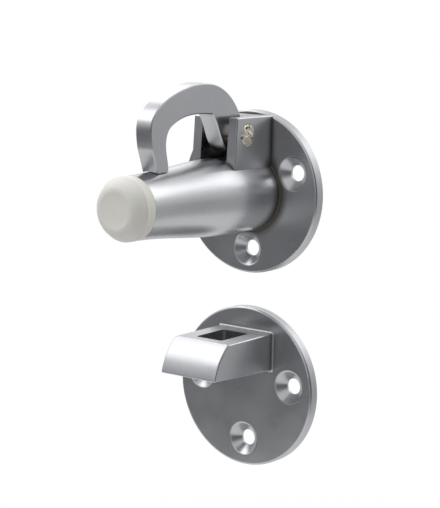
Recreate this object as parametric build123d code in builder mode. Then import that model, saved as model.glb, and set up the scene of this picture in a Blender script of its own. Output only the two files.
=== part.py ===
import os
from math import cos, radians, sin, tan

from build123d import *

os.makedirs("parts", exist_ok=True)

# A wall door stop with a drop hook, and the keeper that goes on the door.
# The wall is the plane y = 0 and the stop stands out of it towards -Y, with +Z up.
# The origin is the middle of the stop's round plate, on the wall.
# All sizes are in millimetres.

# Round plates, of one diameter on the stop and on the keeper
plate_diameter = 57.0
stop_plate_thickness = 4.0
keeper_plate_thickness = 3.8
plate_edge_round = 0.8

# Countersunk screw holes, three in each plate, placed from the plate's edge
screw_hole_diameter = 5.6
screw_sink_diameter = 11.6
screw_sink_angle = 90.0
screw_sink_round = 1.0
stop_hole_edge_distance = 8.5
stop_hole_angles = (23.0, 157.0, 270.0)
keeper_hole_edge_distance = 9.3
keeper_hole_angles = (7.0, 173.0, 270.0)

# Post, a round casting that narrows in a soft curve towards its end
post_length = 67.5
post_base_radius = 13.3
post_end_radius = 10.6
post_base_fillet = 0.4
post_taper_start = 22.0

# Rubber buffer, with a stem that is pressed into the end of the post
buffer_length = 8.0
buffer_straight = 3.5
buffer_face_radius = 6.2
buffer_face_dish = 0.3
stem_radius = 4.0
stem_length = 12.0
stem_hole_spare = 1.0

# Clevis, the block with two ears on top of the post
clevis_width = 18.4
clevis_top = 27.2
clevis_reach = 23.6
clevis_lean = 1.8
clevis_edge_round = 0.4
slot_width = 11.2
slot_floor = 12.4
slot_back_spare = 0.5

# Pivot pin, riveted over into sunk rims at both ends
pin_out = 18.0
pin_height = 21.3
pin_radius = 3.0
pin_head_radius = 3.8
pin_dome = 0.25

# Hook, a flat bar cast in an arch, with a round hub on the pin
hook_width = 6.5
hub_radius = 6.3
pin_running_gap = 0.08
tip_rest_gap = 0.3
hook_edge_chamfer = 0.35
hub_corner_round = 1.2

# Where the arch leaves the hub behind the pin, and where it comes back to it in front,
# in degrees from the way out of the wall, up being positive
heel_angle = 152.0
hub_front_angle = -50.0

# Outlines of the hook in the side view, between the hub and the tip. Each point is
# measured from the pin, first out from the wall and then up.
arch_outside = (
    (-2.9, 7.7),
    (5.6, 15.3),
    (13.2, 17.5),
    (26.5, 16.3),
    (38.3, 11.6),
    (43.6, 5.2),
    (43.3, -1.4),
    (39.4, -12.5),
)
arch_inside = (
    (34.6, -12.5),
    (34.5, -8.0),
    (35.7, -1.5),
    (34.3, 3.0),
    (31.4, 5.1),
    (20.2, 7.6),
    (11.5, 7.2),
)
hub_front = (
    (9.3, 3.9),
    (7.3, -0.2),
)

# Directions in the same view, down the outside at the tip and into the hub's front
tip_direction = (0.33, -0.94)
hub_front_direction = (0.55, -0.83)

# Keeper, a plate with a slotted block that the tip of the hook drops into
keeper_drop = 69.3
block_width = 23.2
block_top = 20.6
block_bottom = 7.2
nose_top_out = 29.0
nose_top_height = 20.3
nose_bottom_out = 36.6
nose_bottom_height = 8.5
nose_bulge = 1.3
block_edge_round = 0.5
block_root_fillet = 0.8
catch_slot_width = 11.2
catch_slot_back = 9.5
catch_slot_front = 25.2
catch_slot_corner = 1.2

# Worked out from the sizes above
plate_radius = plate_diameter / 2
slot_back = pin_out - hub_radius - slot_back_spare
stop_axis = Axis((0, 0, 0), (0, 1, 0))
keeper_axis = Axis((0, 0, -keeper_drop), (0, 1, 0))
pin_axis = Axis((0, -pin_out, pin_height), (1, 0, 0))
ear_outside = clevis_width / 2
pin_head_depth = pin_head_radius - pin_radius

# Countersink: its half angle, its depth, and where the rounding of its rim starts and ends
sink_slope = radians(screw_sink_angle / 2)
sink_depth = (screw_sink_diameter - screw_hole_diameter) / 2 / tan(sink_slope)
rim_length = screw_sink_round * tan((radians(90) - sink_slope) / 2)
rim_reach = screw_sink_diameter / 2 + rim_length
rim_inside = screw_sink_diameter / 2 - rim_length * sin(sink_slope)
rim_depth = rim_length * cos(sink_slope)


def from_pin(point):
    """Side-view place of a point that is measured from the pin."""
    return (-pin_out - point[0], pin_height + point[1])


def on_hub(angle):
    """Side-view place on the edge of the hub."""
    return from_pin((hub_radius * cos(radians(angle)), hub_radius * sin(radians(angle))))


def along_hub(angle):
    """Side-view direction of the hub's edge, going over the top towards the door."""
    return (-sin(radians(angle)), -cos(radians(angle)))


def post_side(spare):
    """Side of the post from its base to its end, moved out by a spare."""
    Line(
        (post_base_radius + spare, -stop_plate_thickness - post_base_fillet),
        (post_base_radius + spare, -post_taper_start),
    )
    Spline(
        (post_base_radius + spare, -post_taper_start),
        (post_end_radius + spare, -post_length),
        tangents=((0, -1), (0, -1)),
    )


def plate_rim(thickness):
    """Half section of a round plate, from its axis on the wall to its front edge."""
    Line((0, 0), (plate_radius, 0))
    Line((plate_radius, 0), (plate_radius, plate_edge_round - thickness))
    RadiusArc(
        (plate_radius, plate_edge_round - thickness),
        (plate_radius - plate_edge_round, -thickness),
        plate_edge_round,
    )


def screw_holes(thickness, plate_centre, edge_distance, angles):
    """Room for countersunk screws in a round plate, the rims of the sinks rounded over."""
    circle_radius = plate_radius - edge_distance
    with BuildPart() as room:
        for angle in angles:
            across = circle_radius * cos(radians(angle))
            height = plate_centre + circle_radius * sin(radians(angle))
            with BuildSketch(Plane.XY.offset(height)):
                with BuildLine():
                    Polyline(
                        (across + rim_reach, -thickness),
                        (across, -thickness),
                        (across, 0),
                        (across + screw_hole_diameter / 2, 0),
                        (across + screw_hole_diameter / 2, sink_depth - thickness),
                        (across + rim_inside, rim_depth - thickness),
                    )
                    TangentArc(
                        (across + rim_reach, -thickness),
                        (across + rim_inside, rim_depth - thickness),
                        tangent=(-1, 0),
                    )
                make_face()
            revolve(axis=Axis((across, 0, height), (0, 1, 0)))
    return room.part


# Plate and post of the stop, turned about the post
with BuildPart() as turned:
    with BuildSketch(Plane.XY):
        with BuildLine():
            plate_rim(stop_plate_thickness)
            Line(
                (plate_radius - plate_edge_round, -stop_plate_thickness),
                (post_base_radius + post_base_fillet, -stop_plate_thickness),
            )
            RadiusArc(
                (post_base_radius + post_base_fillet, -stop_plate_thickness),
                (post_base_radius, -stop_plate_thickness - post_base_fillet),
                -post_base_fillet,
            )
            post_side(0)
            Line((post_end_radius, -post_length), (0, -post_length))
            Line((0, -post_length), (0, 0))
        make_face()
    revolve(axis=stop_axis)

# Block of the clevis, its front leaning out a little towards the post
with BuildPart() as clevis:
    with BuildSketch(Plane.YZ):
        with BuildLine():
            Polyline(
                (-stop_plate_thickness / 2, 0),
                (-stop_plate_thickness / 2, clevis_top),
                (-clevis_reach, clevis_top),
                (-clevis_reach - clevis_lean, 0),
                close=True,
            )
        make_face()
    extrude(amount=ear_outside, both=True)
    front_edges = clevis.faces().sort_by(Axis.Y)[0].edges().sort_by(Axis.Z)[1:]
    top_edges = clevis.faces().sort_by(Axis.Z)[-1].edges().filter_by(Axis.Y)
    fillet(front_edges + top_edges, radius=clevis_edge_round)

# The whole casting of the stop
with BuildPart() as stop_body:
    add(turned.part)
    add(clevis.part)
    # Slot for the hub, open at the front and at the top
    with BuildSketch(Plane.XY.offset(slot_floor)):
        with BuildLine():
            Polyline(
                (-slot_width / 2, -clevis_reach - clevis_lean),
                (-slot_width / 2, -slot_back),
                (slot_width / 2, -slot_back),
                (slot_width / 2, -clevis_reach - clevis_lean),
                close=True,
            )
        make_face()
    extrude(amount=clevis_top, mode=Mode.SUBTRACT)
    # Pin hole with a sunk rim on both sides
    with BuildSketch(Plane.XZ.offset(pin_out)):
        with BuildLine():
            Polyline(
                (-ear_outside, pin_height),
                (-ear_outside, pin_height + pin_head_radius),
                (-ear_outside + pin_head_depth, pin_height + pin_radius),
                (ear_outside - pin_head_depth, pin_height + pin_radius),
                (ear_outside, pin_height + pin_head_radius),
                (ear_outside, pin_height),
                close=True,
            )
        make_face()
    revolve(axis=pin_axis, mode=Mode.SUBTRACT)
    add(
        screw_holes(stop_plate_thickness, 0, stop_hole_edge_distance, stop_hole_angles),
        mode=Mode.SUBTRACT,
    )
    # Blind hole for the stem of the buffer
    with Locations(Plane.XZ.offset(post_length)):
        Hole(stem_radius, depth=stem_length + stem_hole_spare)

stop_body.part.label = "stop_body"
export_step(stop_body.part, "parts/stop_body.step")

# Pin, with both ends hammered out into the sunk rims and slightly domed
with BuildPart() as pivot_pin:
    with BuildSketch(Plane.XZ.offset(pin_out)):
        with BuildLine():
            Line((-ear_outside - pin_dome, pin_height), (ear_outside + pin_dome, pin_height))
            TangentArc(
                (ear_outside + pin_dome, pin_height),
                (ear_outside, pin_height + pin_head_radius),
                tangent=(0, 1),
            )
            Polyline(
                (ear_outside, pin_height + pin_head_radius),
                (ear_outside - pin_head_depth, pin_height + pin_radius),
                (-ear_outside + pin_head_depth, pin_height + pin_radius),
                (-ear_outside, pin_height + pin_head_radius),
            )
            TangentArc(
                (-ear_outside - pin_dome, pin_height),
                (-ear_outside, pin_height + pin_head_radius),
                tangent=(0, 1),
            )
        make_face()
    revolve(axis=pin_axis)

pivot_pin.part.label = "pivot_pin"
export_step(pivot_pin.part, "parts/pivot_pin.step")

# Rubber buffer with its stem
with BuildPart() as buffer:
    with BuildSketch(Plane.XY):
        with BuildLine():
            Polyline(
                (0, -post_length + stem_length),
                (stem_radius, -post_length + stem_length),
                (stem_radius, -post_length),
                (post_end_radius, -post_length),
                (post_end_radius, -post_length - buffer_straight),
            )
            TangentArc(
                (post_end_radius, -post_length - buffer_straight),
                (buffer_face_radius, -post_length - buffer_length),
                tangent=(0, -1),
            )
            TangentArc(
                (0, -post_length - buffer_length + buffer_face_dish),
                (buffer_face_radius, -post_length - buffer_length),
                tangent=(1, 0),
            )
            Line((0, -post_length - buffer_length + buffer_face_dish), (0, -post_length + stem_length))
        make_face()
    revolve(axis=stop_axis)

buffer.part.label = "buffer"
export_step(buffer.part, "parts/buffer.step")

# Hook, its tip hollowed underneath to lie over the round post
with BuildPart() as hook:
    with BuildSketch(Plane.YZ) as hook_side:
        with BuildLine():
            Spline(
                [on_hub(heel_angle)] + [from_pin(point) for point in arch_outside],
                tangents=(along_hub(heel_angle), tip_direction),
            )
            Line(from_pin(arch_outside[-1]), from_pin(arch_inside[0]))
            Spline([from_pin(point) for point in arch_inside])
            Spline(
                [from_pin(arch_inside[-1])]
                + [from_pin(point) for point in hub_front]
                + [on_hub(hub_front_angle)],
                tangents=(hub_front_direction, along_hub(hub_front_angle)),
            )
            ThreePointArc(
                on_hub(hub_front_angle),
                on_hub(heel_angle + 90),
                on_hub(heel_angle),
            )
        make_face()
        hub_corner = hook_side.vertices().sort_by_distance(from_pin(arch_inside[-1]))[0]
        fillet(hub_corner, radius=hub_corner_round)
    extrude(amount=hook_width / 2, both=True)
    chamfer(hook.faces().filter_by(Axis.X).edges(), length=hook_edge_chamfer)
    with BuildSketch(Plane.YZ):
        with Locations(from_pin((0, 0))):
            Circle(pin_radius + pin_running_gap)
    extrude(amount=hook_width, both=True, mode=Mode.SUBTRACT)
    with BuildSketch(Plane.XY):
        with BuildLine():
            post_side(tip_rest_gap)
            Polyline(
                (post_end_radius + tip_rest_gap, -post_length),
                (0, -post_length),
                (0, -stop_plate_thickness - post_base_fillet),
                (post_base_radius + tip_rest_gap, -stop_plate_thickness - post_base_fillet),
            )
        make_face()
    revolve(axis=stop_axis, mode=Mode.SUBTRACT)

hook.part.label = "hook"
export_step(hook.part, "parts/hook.step")

# Plate of the keeper
with BuildPart() as keeper_plate:
    with BuildSketch(Plane.XY.offset(-keeper_drop)):
        with BuildLine():
            plate_rim(keeper_plate_thickness)
            Line((plate_radius - plate_edge_round, -keeper_plate_thickness), (0, -keeper_plate_thickness))
            Line((0, -keeper_plate_thickness), (0, 0))
        make_face()
    revolve(axis=keeper_axis)

# Block of the keeper, with a bulged nose that lifts the hook
with BuildPart() as keeper_block:
    with BuildSketch(Plane.YZ):
        with BuildLine():
            Polyline(
                (-nose_bottom_out, nose_bottom_height - keeper_drop),
                (-keeper_plate_thickness / 2, block_bottom - keeper_drop),
                (-keeper_plate_thickness / 2, block_top - keeper_drop),
                (-nose_top_out, nose_top_height - keeper_drop),
            )
            SagittaArc(
                (-nose_top_out, nose_top_height - keeper_drop),
                (-nose_bottom_out, nose_bottom_height - keeper_drop),
                -nose_bulge,
            )
        make_face()
    extrude(amount=block_width / 2, both=True)
    back_face = keeper_block.faces().sort_by(Axis.Y)[-1]
    fillet(keeper_block.edges() - back_face.edges(), radius=block_edge_round)

# The whole casting of the keeper
with BuildPart() as keeper:
    add(keeper_plate.part)
    add(keeper_block.part)
    block_root = keeper.edges().filter_by(
        lambda edge: abs(edge.center().Y + keeper_plate_thickness) < 0.01
        and edge.geom_type != GeomType.CIRCLE
    )
    fillet(block_root, radius=block_root_fillet)
    # Slot for the tip of the hook, straight through
    with BuildSketch(Plane.XY.offset(-keeper_drop)):
        with Locations((0, -(catch_slot_front + catch_slot_back) / 2)):
            RectangleRounded(catch_slot_width, catch_slot_front - catch_slot_back, catch_slot_corner)
    extrude(amount=plate_radius, mode=Mode.SUBTRACT)
    add(
        screw_holes(
            keeper_plate_thickness, -keeper_drop, keeper_hole_edge_distance, keeper_hole_angles
        ),
        mode=Mode.SUBTRACT,
    )

keeper.part.label = "keeper"
export_step(keeper.part, "parts/keeper.step")
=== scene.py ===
from math import cos, pi, radians, sin

import bpy
from mathutils import Matrix, Vector
from mathutils.noise import fractal


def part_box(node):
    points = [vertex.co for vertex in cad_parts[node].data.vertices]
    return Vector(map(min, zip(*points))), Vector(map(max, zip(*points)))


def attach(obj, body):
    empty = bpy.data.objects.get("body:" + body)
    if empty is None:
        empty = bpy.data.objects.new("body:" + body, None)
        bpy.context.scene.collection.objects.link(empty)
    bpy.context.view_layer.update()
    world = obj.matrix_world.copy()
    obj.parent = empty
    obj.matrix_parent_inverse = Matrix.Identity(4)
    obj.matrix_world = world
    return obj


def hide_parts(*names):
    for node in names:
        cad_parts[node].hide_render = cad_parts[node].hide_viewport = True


# A wall door stop with a drop hook and its keeper, in satin chrome, with an off-white buffer.
# Lengths are in metres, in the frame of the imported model: the wall is y = 0 and +Z is up.
# Angles are in degrees, and the camera's lens and sensor in millimetres.

# Camera, worked out from the two round plates and the axis of the post in the photograph.
# Its place is counted from the origin, along its own axes.
CAMERA_AZIMUTH = 37.3
CAMERA_ELEVATION = 9.0
CAMERA_ROLL = 1.2
CAMERA_LEFT = 0.01245
CAMERA_DOWN = 0.02212
CAMERA_BACK = 0.62996
CAMERA_REACH = 50.0
LENS = 127.56
SENSOR = 36.0

# Floor, a round pale sheet under the object. The shadow is the share of its own shading that is
# left when the camera and reflections see it as white.
FLOOR_DROP = 0.09
FLOOR_RADIUS = 0.27
FLOOR_SIDES = 96
FLOOR_COLOUR = (0.68, 0.68, 0.68, 1.0)
FLOOR_ROUGHNESS = 0.9
FLOOR_LIGHT = 1.05
FLOOR_SHADOW = 0.2

# Room, dim at the front and far to the right, and bright above and behind
WHITE = (1.0, 1.0, 1.0, 1.0)
LOW_LEFT = (0.225, 0.227, 0.235, 1.0)
LOW_RIGHT = (0.42, 0.422, 0.43, 1.0)
FAR_RIGHT = (0.12, 0.12, 0.122, 1.0)
LOW_BACK = (0.62, 0.622, 0.63, 1.0)
HIGH_FRONT = (0.90, 0.905, 0.92, 1.0)
# The X, Y or Z of a direction between which one tone of the room gives way to the next
RIGHT_X = (-0.2, 0.3)
FAR_RIGHT_X = (0.62, 0.80)
SCREEN_END_X = (0.76, 0.90)
BEHIND_Y = (0.1, 0.5)
ABOVE_Z = (0.0, 0.35)
TABLE_Z = (-0.52, -0.36)

# Lamps, each with its name, its place, its width and height, and its power in watts
LAMP_TARGET = (0.0, -0.03, -0.03)
LAMPS = (
    ("key", (-0.75, -0.42, 0.85), (0.8, 0.7), 2.9),
    ("back_left", (-0.75, 0.6, 0.75), (0.5, 0.5), 1.6),
    ("back_right", (0.4, 0.98, 0.66), (0.8, 0.5), 1.9),
)

# The values of a noise over which a colour or a roughness changes
NOISE_SPAN = (0.35, 0.65)
# The sockets of Blender's Mix node for colours, which share their names with other sockets
MIX_COLOUR_INPUTS = (0, 6, 7)
MIX_COLOUR_OUTPUT = 2

# Satin chrome
CHROME_DARK = (0.465, 0.47, 0.485, 1.0)
CHROME_LIGHT = (0.50, 0.505, 0.52, 1.0)
CHROME_ROUGHNESS = (0.26, 0.32)
CHROME_CLOUDS = 70.0
CHROME_GRAIN = 2600.0
CHROME_GRAIN_STRENGTH = 0.12
CHROME_GRAIN_HEIGHT = 0.00004
# Painted shade in its corners and tight roots, by how open a point is within a reach: at the first
# openness it lies wholly in the corner, and at the second in the open
CORNER_SHADE_COLOUR = (0.24, 0.235, 0.232, 1.0)
CORNER_REACH = 0.005
CORNER_OPENNESS = (0.40, 0.78)
ROOT_SHADE_COLOUR = (0.15, 0.14, 0.132, 1.0)
ROOT_REACH = 0.0018
ROOT_OPENNESS = (0.55, 0.90)
CORNER_DULLNESS = 0.35
RIM_DULLNESS = 0.16
OCCLUSION_SAMPLES = 8
# Where what stands in front of the plates gives way to their rims and holes, just under the face
PLATE_FACE_Y = (-0.0037, -0.0032)
# Where faces that look out of the wall give way to those that look along it
RIM_NORMAL_Y = (-0.6, -0.3)
# Where the painted shade at the root of the post fades, outward on its plate and along the post
POST_ROOT_RADIUS = (0.0137, 0.0168)
POST_ROOT_Y = (-0.0082, -0.0045)

# Steel of the pin. The gains are added to its pits, which gather toward the edge of an end.
STEEL_PIT = (0.05, 0.045, 0.04, 1.0)
STEEL_BRIGHT = (0.76, 0.71, 0.60, 1.0)
STEEL_ROUGHNESS = 0.42
PIT_SCALE = 560.0
PIT_SPAN = (0.31, 0.38)
PIT_MIDDLE_GAIN = 0.03
PIT_EDGE_GAIN = -0.06
PIT_GAIN_RADIUS = (0.0012, 0.0037)
PIT_STRENGTH = 0.5
PIT_HEIGHT = 0.0003

# Rubber of the buffer
RUBBER_DARK = (0.86, 0.84, 0.765, 1.0)
RUBBER_LIGHT = (0.89, 0.875, 0.815, 1.0)
RUBBER_ROUGHNESS = (0.46, 0.56)
RUBBER_CLOUDS = 90.0
RUBBER_GRAIN = 1800.0
RUBBER_GRAIN_STRENGTH = 0.2
RUBBER_GRAIN_HEIGHT = 0.00008
RUBBER_IOR = 1.5
RUBBER_SUBSURFACE = 0.08
RUBBER_SUBSURFACE_SCALE = 0.001

# Pin, with the sizes of its solid
PIN_OUT = 0.018
PIN_HEIGHT = 0.0213
PIN_RADIUS = 0.003
PIN_HEAD_RADIUS = 0.0038
PIN_HEAD_DEPTH = PIN_HEAD_RADIUS - PIN_RADIUS
PIN_DOME = 0.0003
EAR_OUTSIDE = 0.0092
PIN_RINGS = 14
PIN_STEPS = 96
# Its uneven edge and dents, each a fractal with its increment, lacunarity and octaves
PIN_EDGE_DEPTH = 0.0002
PIN_EDGE_INSET = 0.00015
PIN_EDGE_WAVE = 0.00018
PIN_EDGE_SCALE = 1.6
PIN_EDGE_SIDE = 4.0
PIN_EDGE_FRACTAL = (0.6, 2.0, 3)
PIN_DENT = 0.00022
PIN_DENT_SCALE = 900
PIN_DENT_SIDE = 7.0
PIN_DENT_START = (3.3, 1.7, 0.4)
PIN_DENT_FRACTAL = (0.7, 2.1, 4)

# Buffer, with the sizes of its solid
POST_LENGTH = 0.0675
BUFFER_LENGTH = 0.008
BUFFER_STRAIGHT = 0.0035
BUFFER_RADIUS = 0.0106
BUFFER_FACE_RADIUS = 0.0062
BUFFER_DISH = 0.0003
BUFFER_STEPS = 128
BUFFER_RINGS = 24
# The innermost ring of its face, as a share of the face's radius
BUFFER_LAST_RING = 0.02
# Its back edge, broken by a hair
BUFFER_BACK_DEPTH = 0.0001
BUFFER_BACK_INSET = 0.0002
BUFFER_SIDE_STEPS = 8
# Its shoulder, each point by its place behind the face and its radius
BUFFER_SHOULDER = (
    (BUFFER_LENGTH - BUFFER_STRAIGHT, BUFFER_RADIUS),
    (0.0040, 0.0104),
    (0.0033, 0.01),
    (0.0023, 0.0094),
    (0.0013, 0.0086),
    (0.0006, 0.0078),
    (0.0002, 0.0071),
    (0.0, BUFFER_FACE_RADIUS),
)
BUFFER_SHOULDER_STEPS = 6
STEM_RADIUS = 0.004
STEM_LENGTH = 0.012
# A ring just inside the edge of the stem's end keeps that end flat
STEM_END_INSET = 0.0004


class Nodes:
    """The node tree of a material or a world, with a method for each thing that it works out."""

    def __init__(self, tree):
        self.tree = tree

    def give(self, socket, value):
        """Gives a socket a plain value, or links it to another node's output."""
        if isinstance(value, bpy.types.NodeSocket):
            self.tree.links.new(value, socket)
        else:
            socket.default_value = value

    def add(self, kind, inputs=None):
        """A new node, with a plain value or a link for each of the named inputs."""
        node = self.tree.nodes.new(kind)
        for name, value in (inputs or {}).items():
            self.give(node.inputs[name], value)
        return node

    def piece_place(self):
        """The place of a point in the piece's own coordinates."""
        return self.add("ShaderNodeTexCoord").outputs["Object"]

    def position(self):
        """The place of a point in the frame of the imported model."""
        return self.add("ShaderNodeNewGeometry").outputs["Position"]

    def normal(self):
        """The direction that a face looks in."""
        return self.add("ShaderNodeNewGeometry").outputs["Normal"]

    def axes(self, vector):
        """The X, Y and Z of a vector."""
        return self.add("ShaderNodeSeparateXYZ", {"Vector": vector}).outputs

    def scaled(self, vector, scale, offset=(0.0, 0.0, 0.0)):
        """A vector times a scale, plus an offset."""
        node = self.add("ShaderNodeVectorMath", {0: vector, 1: scale, 2: offset})
        node.operation = "MULTIPLY_ADD"
        return node.outputs["Vector"]

    def length(self, vector):
        """The length of a vector."""
        node = self.add("ShaderNodeVectorMath", {0: vector})
        node.operation = "LENGTH"
        return node.outputs["Value"]

    def combined(self, operation, first, *others):
        """One value from several, by one operation after another."""
        for other in others:
            node = self.add("ShaderNodeMath", {0: first, 1: other})
            node.operation = operation
            first = node.outputs["Value"]
        return first

    def plus(self, *values):
        """The sum of some values."""
        return self.combined("ADD", *values)

    def times(self, *values):
        """The product of some values."""
        return self.combined("MULTIPLY", *values)

    def largest(self, *values):
        """The largest of some values."""
        return self.combined("MAXIMUM", *values)

    def noise(self, place, scale, detail):
        """A noise value, by place."""
        inputs = {"Vector": place, "Scale": scale, "Detail": detail}
        return self.add("ShaderNodeTexNoise", inputs).outputs["Fac"]

    def spread(self, value, low, high, span=NOISE_SPAN):
        """Runs from low to high as a value runs over a span."""
        ends = {"From Min": span[0], "From Max": span[1], "To Min": low, "To Max": high}
        return self.add("ShaderNodeMapRange", {"Value": value, **ends}).outputs["Result"]

    def occlusion(self, reach, openness):
        """How far a point lies in a corner, from 0 in the open to 1, by what is within a reach."""
        shade = self.add("ShaderNodeAmbientOcclusion", {"Distance": reach})
        shade.samples = OCCLUSION_SAMPLES
        shade.only_local = True
        return self.spread(shade.outputs["AO"], 1.0, 0.0, openness)

    def blend(self, factor, first, second):
        """A colour between two, by a factor."""
        mixer = self.add("ShaderNodeMix")
        mixer.data_type = "RGBA"
        for index, value in zip(MIX_COLOUR_INPUTS, (factor, first, second)):
            self.give(mixer.inputs[index], value)
        return mixer.outputs[MIX_COLOUR_OUTPUT]

    def blend_shaders(self, factor, first, second):
        """A shader between two, by a factor."""
        inputs = {"Fac": factor, 1: first, 2: second}
        return self.add("ShaderNodeMixShader", inputs).outputs["Shader"]

    def bump(self, shader, height, strength, distance):
        """Gives a shader a bump from a height."""
        inputs = {"Height": height, "Strength": strength, "Distance": distance}
        bump = self.add("ShaderNodeBump", inputs)
        self.give(shader.inputs["Normal"], bump.outputs["Normal"])

    def white_light(self, strength):
        """A plain white emission."""
        inputs = {"Color": WHITE, "Strength": strength}
        return self.add("ShaderNodeEmission", inputs).outputs["Emission"]

    def camera_and_mirrored(self):
        """Whether a ray comes from the camera, and whether it comes from metal or glass."""
        path = self.add("ShaderNodeLightPath").outputs
        mirrored = self.largest(path["Is Glossy Ray"], path["Is Transmission Ray"])
        return path["Is Camera Ray"], mirrored


def new_material(name):
    """A material with its nodes and its Principled shader."""
    material = bpy.data.materials.new(name)
    material.use_nodes = True
    tree = material.node_tree
    return material, Nodes(tree), tree.nodes["Principled BSDF"]


def plate_depth(nodes, outside, inside):
    """One value in front of the plates and another inside their thickness."""
    return nodes.spread(nodes.axes(nodes.position())["Y"], outside, inside, PLATE_FACE_Y)


def sideways(nodes):
    """Whether a face looks along the wall, as a plate's rim does, and not out of it."""
    return nodes.spread(nodes.axes(nodes.normal())["Y"], 0.0, 1.0, RIM_NORMAL_Y)


def post_root_shade(nodes):
    """The narrow ring of painted shade where the post meets its plate."""
    position = nodes.position()
    from_axis = nodes.scaled(position, (1.0, 0.0, 1.0))
    near_post = nodes.spread(nodes.length(from_axis), 1.0, 0.0, POST_ROOT_RADIUS)
    near_plate = nodes.spread(nodes.axes(position)["Y"], 0.0, 1.0, POST_ROOT_Y)
    return nodes.times(near_post, near_plate)


def satin_chrome():
    """Plated die casting with a satin finish: a soft sheen, faint clouds and a very fine grain."""
    material, nodes, shader = new_material("satin_chrome")
    shader.inputs["Metallic"].default_value = 1.0
    place = nodes.piece_place()
    clouds = nodes.noise(place, CHROME_CLOUDS, detail=3.0)
    grain = nodes.noise(place, CHROME_GRAIN, detail=2.0)
    # Painted shade darkens the corners, and the root of the post most of all; the same places are
    # made duller
    in_front = plate_depth(nodes, 1.0, 0.0)
    corner_shade = nodes.times(nodes.occlusion(CORNER_REACH, CORNER_OPENNESS), in_front)
    tight_root_shade = nodes.occlusion(ROOT_REACH, ROOT_OPENNESS)
    root_shade = nodes.times(nodes.largest(post_root_shade(nodes), tight_root_shade), in_front)
    colour = nodes.blend(nodes.spread(clouds, 0.0, 1.0), CHROME_DARK, CHROME_LIGHT)
    colour = nodes.blend(corner_shade, colour, CORNER_SHADE_COLOUR)
    nodes.give(shader.inputs["Base Color"], nodes.blend(root_shade, colour, ROOT_SHADE_COLOUR))
    # Turning leaves the rims duller than the polished faces
    turning = nodes.times(plate_depth(nodes, 0.0, RIM_DULLNESS), sideways(nodes))
    dull = nodes.times(nodes.largest(corner_shade, root_shade), CORNER_DULLNESS)
    rough = nodes.plus(nodes.spread(clouds, *CHROME_ROUGHNESS), dull, turning)
    nodes.give(shader.inputs["Roughness"], rough)
    nodes.bump(shader, grain, CHROME_GRAIN_STRENGTH, CHROME_GRAIN_HEIGHT)
    return material


def pin_steel():
    """Hammered steel of the pin's ends, with dark pits near the edge and a bright middle."""
    material, nodes, shader = new_material("pin_steel")
    shader.inputs["Metallic"].default_value = 1.0
    shader.inputs["Roughness"].default_value = STEEL_ROUGHNESS
    from_axis = nodes.scaled(nodes.piece_place(), (0.0, 1.0, 1.0), (0.0, PIN_OUT, -PIN_HEIGHT))
    pits = nodes.noise(from_axis, PIT_SCALE, detail=2.5)
    radius = nodes.length(from_axis)
    gain = nodes.spread(radius, PIT_MIDDLE_GAIN, PIT_EDGE_GAIN, PIT_GAIN_RADIUS)
    tone = nodes.spread(nodes.plus(pits, gain), 0.0, 1.0, PIT_SPAN)
    nodes.give(shader.inputs["Base Color"], nodes.blend(tone, STEEL_PIT, STEEL_BRIGHT))
    nodes.bump(shader, pits, PIT_STRENGTH, PIT_HEIGHT)
    return material


def buffer_rubber():
    """Off-white moulded rubber with a soft sheen and a fine matt grain."""
    material, nodes, shader = new_material("buffer_rubber")
    place = nodes.piece_place()
    clouds = nodes.noise(place, RUBBER_CLOUDS, detail=3.0)
    grain = nodes.noise(place, RUBBER_GRAIN, detail=3.0)
    colour = nodes.blend(nodes.spread(clouds, 0.0, 1.0), RUBBER_DARK, RUBBER_LIGHT)
    nodes.give(shader.inputs["Base Color"], colour)
    nodes.give(shader.inputs["Roughness"], nodes.spread(clouds, *RUBBER_ROUGHNESS))
    shader.inputs["IOR"].default_value = RUBBER_IOR
    shader.inputs["Subsurface Weight"].default_value = RUBBER_SUBSURFACE
    shader.inputs["Subsurface Scale"].default_value = RUBBER_SUBSURFACE_SCALE
    nodes.bump(shader, grain, RUBBER_GRAIN_STRENGTH, RUBBER_GRAIN_HEIGHT)
    return material


def dress(node, material):
    """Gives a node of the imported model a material, in all its slots."""
    mesh = node.data
    for index in range(len(mesh.materials)):
        mesh.materials[index] = material
    if not mesh.materials:
        mesh.materials.append(material)


def add_object(name, data):
    """Adds an object to the scene, with its mesh, lamp or camera."""
    added = bpy.data.objects.new(name, data)
    bpy.context.scene.collection.objects.link(added)
    return added


def full_turn(steps):
    """The angles of some even steps round a full turn."""
    return [2 * pi * step / steps for step in range(steps)]


def turned_piece(name, lines):
    """A closed round piece, from its points from end to end at each step round its axis."""
    steps, count = len(lines), len(lines[0])
    faces = []
    for step in range(steps):
        here, there = step * count, (step + 1) % steps * count
        for ring in range(count - 1):
            faces.append((here + ring, there + ring, there + ring + 1, here + ring + 1))
    faces.append(tuple(step * count for step in reversed(range(steps))))
    faces.append(tuple(step * count + count - 1 for step in range(steps)))
    mesh = bpy.data.meshes.new(name)
    mesh.from_pydata([point for line in lines for point in line], [], faces)
    mesh.polygons.foreach_set("use_smooth", [True] * len(faces))
    return add_object(name, mesh)


def rounded(points, steps):
    """A Catmull-Rom curve through some points, with a number of steps from each to the next."""
    ends = [points[0], *points, points[-1]]
    line = []
    for knots in zip(ends, ends[1:], ends[2:], ends[3:]):
        for step in range(steps):
            share = step / steps
            weights = (
                (-share + 2 * share ** 2 - share ** 3) / 2,
                (2 - 5 * share ** 2 + 3 * share ** 3) / 2,
                (share + 4 * share ** 2 - 3 * share ** 3) / 2,
                (share ** 3 - share ** 2) / 2,
            )
            line.append(tuple(sum(w * k[axis] for w, k in zip(weights, knots)) for axis in (0, 1)))
    return line


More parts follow.
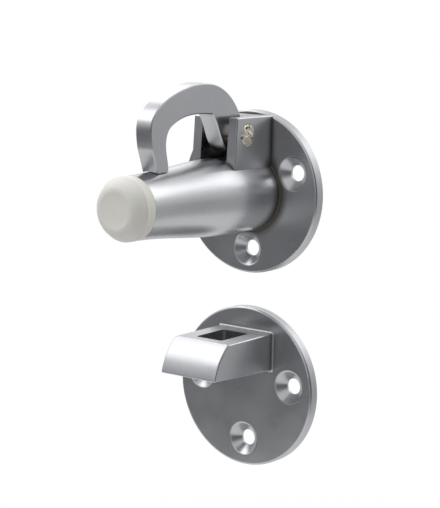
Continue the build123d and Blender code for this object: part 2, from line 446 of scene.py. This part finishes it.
def buffer_profile():
    """Places along the post and radii, from the end of the stem to the middle of the face."""
    joint = -POST_LENGTH
    face = joint - BUFFER_LENGTH
    profile = [
        (joint + STEM_LENGTH, STEM_RADIUS - STEM_END_INSET),
        (joint + STEM_LENGTH, STEM_RADIUS),
        (joint, STEM_RADIUS),
        (joint, BUFFER_RADIUS - BUFFER_BACK_INSET),
        (joint - BUFFER_BACK_DEPTH, BUFFER_RADIUS),
    ]
    for step in range(1, BUFFER_SIDE_STEPS + 1):
        profile.append((joint - BUFFER_STRAIGHT * step / BUFFER_SIDE_STEPS, BUFFER_RADIUS))
    for behind, radius in rounded(BUFFER_SHOULDER, BUFFER_SHOULDER_STEPS):
        profile.append((face + behind, radius))
    for step in range(BUFFER_RINGS + 1):
        share = 1 - (1 - BUFFER_LAST_RING) * step / BUFFER_RINGS
        dish = BUFFER_DISH * (1 - share ** 4)
        profile.append((face + dish, BUFFER_FACE_RADIUS * share))
    return profile


def moulded_buffer():
    """The rubber buffer: a straight side, a round shoulder and a dished face inside a soft rim."""
    profile = buffer_profile()
    lines = [
        [(radius * cos(turn), along, radius * sin(turn)) for along, radius in profile]
        for turn in full_turn(BUFFER_STEPS)
    ]
    return turned_piece("buffer_rubber", lines)


def pin_half(side, turn):
    """Points of the pin at one turn about its axis, from its middle to the centre of one end."""
    direction = Vector((cos(turn), sin(turn)))
    spot = Vector((*direction * PIN_EDGE_SCALE, side * PIN_EDGE_SIDE))
    edge = PIN_HEAD_RADIUS - PIN_EDGE_INSET + PIN_EDGE_WAVE * fractal(spot, *PIN_EDGE_FRACTAL)
    points = [
        (0.0, PIN_RADIUS),
        (EAR_OUTSIDE - PIN_HEAD_DEPTH, PIN_RADIUS),
        (EAR_OUTSIDE - PIN_EDGE_DEPTH, edge),
    ]
    for ring in range(PIN_RINGS):
        share = 1 - (ring + 0.5) / PIN_RINGS
        radius = edge * share
        spot = Vector((*direction * radius * PIN_DENT_SCALE, side * PIN_DENT_SIDE))
        dent = fractal(spot + Vector(PIN_DENT_START), *PIN_DENT_FRACTAL)
        crown = PIN_DOME * (1 - share ** 4)
        points.append((EAR_OUTSIDE + crown + PIN_DENT * dent, radius))
    return [
        (side * along, direction.x * radius - PIN_OUT, direction.y * radius + PIN_HEIGHT)
        for along, radius in points
    ]


def pin_with_hammered_ends():
    """The pivot pin, its ends hammered over in uneven domes."""
    lines = [
        [*reversed(pin_half(-1, turn)), *pin_half(1, turn)[1:]]
        for turn in full_turn(PIN_STEPS)
    ]
    return turned_piece("pin", lines)


def studio_floor(height):
    """A round sheet: white to the camera and in reflections, but for the object's shadow."""
    edge = [
        (FLOOR_RADIUS * cos(turn), FLOOR_RADIUS * sin(turn), height)
        for turn in full_turn(FLOOR_SIDES)
    ]
    mesh = bpy.data.meshes.new("floor")
    mesh.from_pydata(edge, [], [tuple(range(FLOOR_SIDES))])
    floor = add_object("floor", mesh)
    material, nodes, shader = new_material("floor")
    shader.inputs["Base Color"].default_value = FLOOR_COLOUR
    shader.inputs["Roughness"].default_value = FLOOR_ROUGHNESS
    whiten = nodes.times(nodes.largest(*nodes.camera_and_mirrored()), 1 - FLOOR_SHADOW)
    light = nodes.white_light(FLOOR_LIGHT)
    surface = nodes.blend_shaders(whiten, shader.outputs["BSDF"], light)
    nodes.give(nodes.tree.nodes["Material Output"].inputs["Surface"], surface)
    mesh.materials.append(material)


def room_colour(nodes, direction):
    """The tone of the room in a direction."""
    behind = nodes.spread(direction["Y"], 0.0, 1.0, BEHIND_Y)
    above = nodes.spread(direction["Z"], 0.0, 1.0, ABOVE_Z)
    right = nodes.spread(direction["X"], 0.0, 1.0, RIGHT_X)
    far_right = nodes.spread(direction["X"], 0.0, 1.0, FAR_RIGHT_X)
    past_screen = nodes.spread(direction["X"], 0.0, 1.0, SCREEN_END_X)
    front = nodes.blend(above, nodes.blend(right, LOW_LEFT, LOW_RIGHT), HIGH_FRONT)
    front = nodes.blend(far_right, front, FAR_RIGHT)
    back = nodes.blend(past_screen, nodes.blend(above, LOW_BACK, WHITE), FAR_RIGHT)
    return nodes.blend(behind, front, back)


def backdrop(nodes, direction):
    """Whether a direction meets the screen behind the object or the table under it."""
    behind = nodes.spread(direction["Y"], 0.0, 1.0, BEHIND_Y)
    above = nodes.spread(direction["Z"], 0.0, 1.0, ABOVE_Z)
    on_screen = nodes.spread(direction["X"], 1.0, 0.0, SCREEN_END_X)
    table = nodes.spread(direction["Z"], 1.0, 0.0, TABLE_Z)
    return nodes.largest(nodes.times(behind, above, on_screen), table)


def studio_world():
    """The room, all white to the camera, with a screen and a table that metal sees as white."""
    world = bpy.data.worlds.new("studio")
    bpy.context.scene.world = world
    world.use_nodes = True
    nodes = Nodes(world.node_tree)
    direction = nodes.axes(nodes.add("ShaderNodeTexCoord").outputs["Generated"])
    room = nodes.tree.nodes["Background"]
    room.inputs["Strength"].default_value = 1.0
    nodes.give(room.inputs["Color"], room_colour(nodes, direction))
    camera, mirrored = nodes.camera_and_mirrored()
    seen = nodes.largest(camera, nodes.times(backdrop(nodes, direction), mirrored))
    surface = nodes.blend_shaders(seen, room.outputs["Background"], nodes.white_light(1.0))
    nodes.give(nodes.tree.nodes["World Output"].inputs["Surface"], surface)


def soft_lamp(name, place, size, power):
    """A rectangular soft box that looks at the object and that the camera doesn't see."""
    data = bpy.data.lights.new(name, "AREA")
    data.shape = "RECTANGLE"
    data.size, data.size_y = size
    data.energy = power
    lamp = add_object(name, data)
    lamp.location = place
    lamp.rotation_euler = (Vector(LAMP_TARGET) - Vector(place)).to_track_quat("-Z", "Y").to_euler()
    lamp.visible_camera = False


def photo_camera():
    """The camera of the photograph."""
    # A camera that isn't turned looks straight down
    azimuth = Matrix.Rotation(radians(CAMERA_AZIMUTH), 3, "Z")
    tilt = Matrix.Rotation(radians(90) - radians(CAMERA_ELEVATION), 3, "X")
    roll = Matrix.Rotation(radians(CAMERA_ROLL), 3, "Z")
    turn = azimuth @ tilt @ roll
    right, up, back = (turn.col[index] for index in range(3))
    place = -right * CAMERA_LEFT - up * CAMERA_DOWN + back * CAMERA_BACK
    data = bpy.data.cameras.new("photo_camera")
    data.lens = LENS
    data.sensor_width = SENSOR
    data.clip_end = CAMERA_REACH
    camera = add_object("photo_camera", data)
    camera.matrix_world = Matrix.Translation(place) @ turn.to_4x4()
    bpy.context.scene.camera = camera


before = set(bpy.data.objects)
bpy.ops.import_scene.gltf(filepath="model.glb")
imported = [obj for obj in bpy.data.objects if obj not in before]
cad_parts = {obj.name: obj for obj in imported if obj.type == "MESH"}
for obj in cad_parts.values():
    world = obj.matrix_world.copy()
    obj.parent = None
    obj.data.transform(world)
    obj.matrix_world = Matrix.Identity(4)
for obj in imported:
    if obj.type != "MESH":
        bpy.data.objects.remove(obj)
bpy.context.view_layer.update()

bpy.context.scene.view_settings.view_transform = "Standard"

chrome = satin_chrome()
finishes = {
    "stop_body": chrome,
    "hook": chrome,
    "keeper": chrome,
    "pivot_pin": pin_steel(),
    "buffer": buffer_rubber(),
}
for name, finish in finishes.items():
    dress(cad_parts[name], finish)

pin = pin_with_hammered_ends()
pin.data.materials.append(finishes["pivot_pin"])
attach(pin, "stop")
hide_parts("pivot_pin")

rubber = moulded_buffer()
rubber.data.materials.append(finishes["buffer"])
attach(rubber, "stop")
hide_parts("buffer")

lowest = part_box("keeper")[0][2]
studio_floor(lowest - FLOOR_DROP)
studio_world()
for lamp in LAMPS:
    soft_lamp(*lamp)
photo_camera()
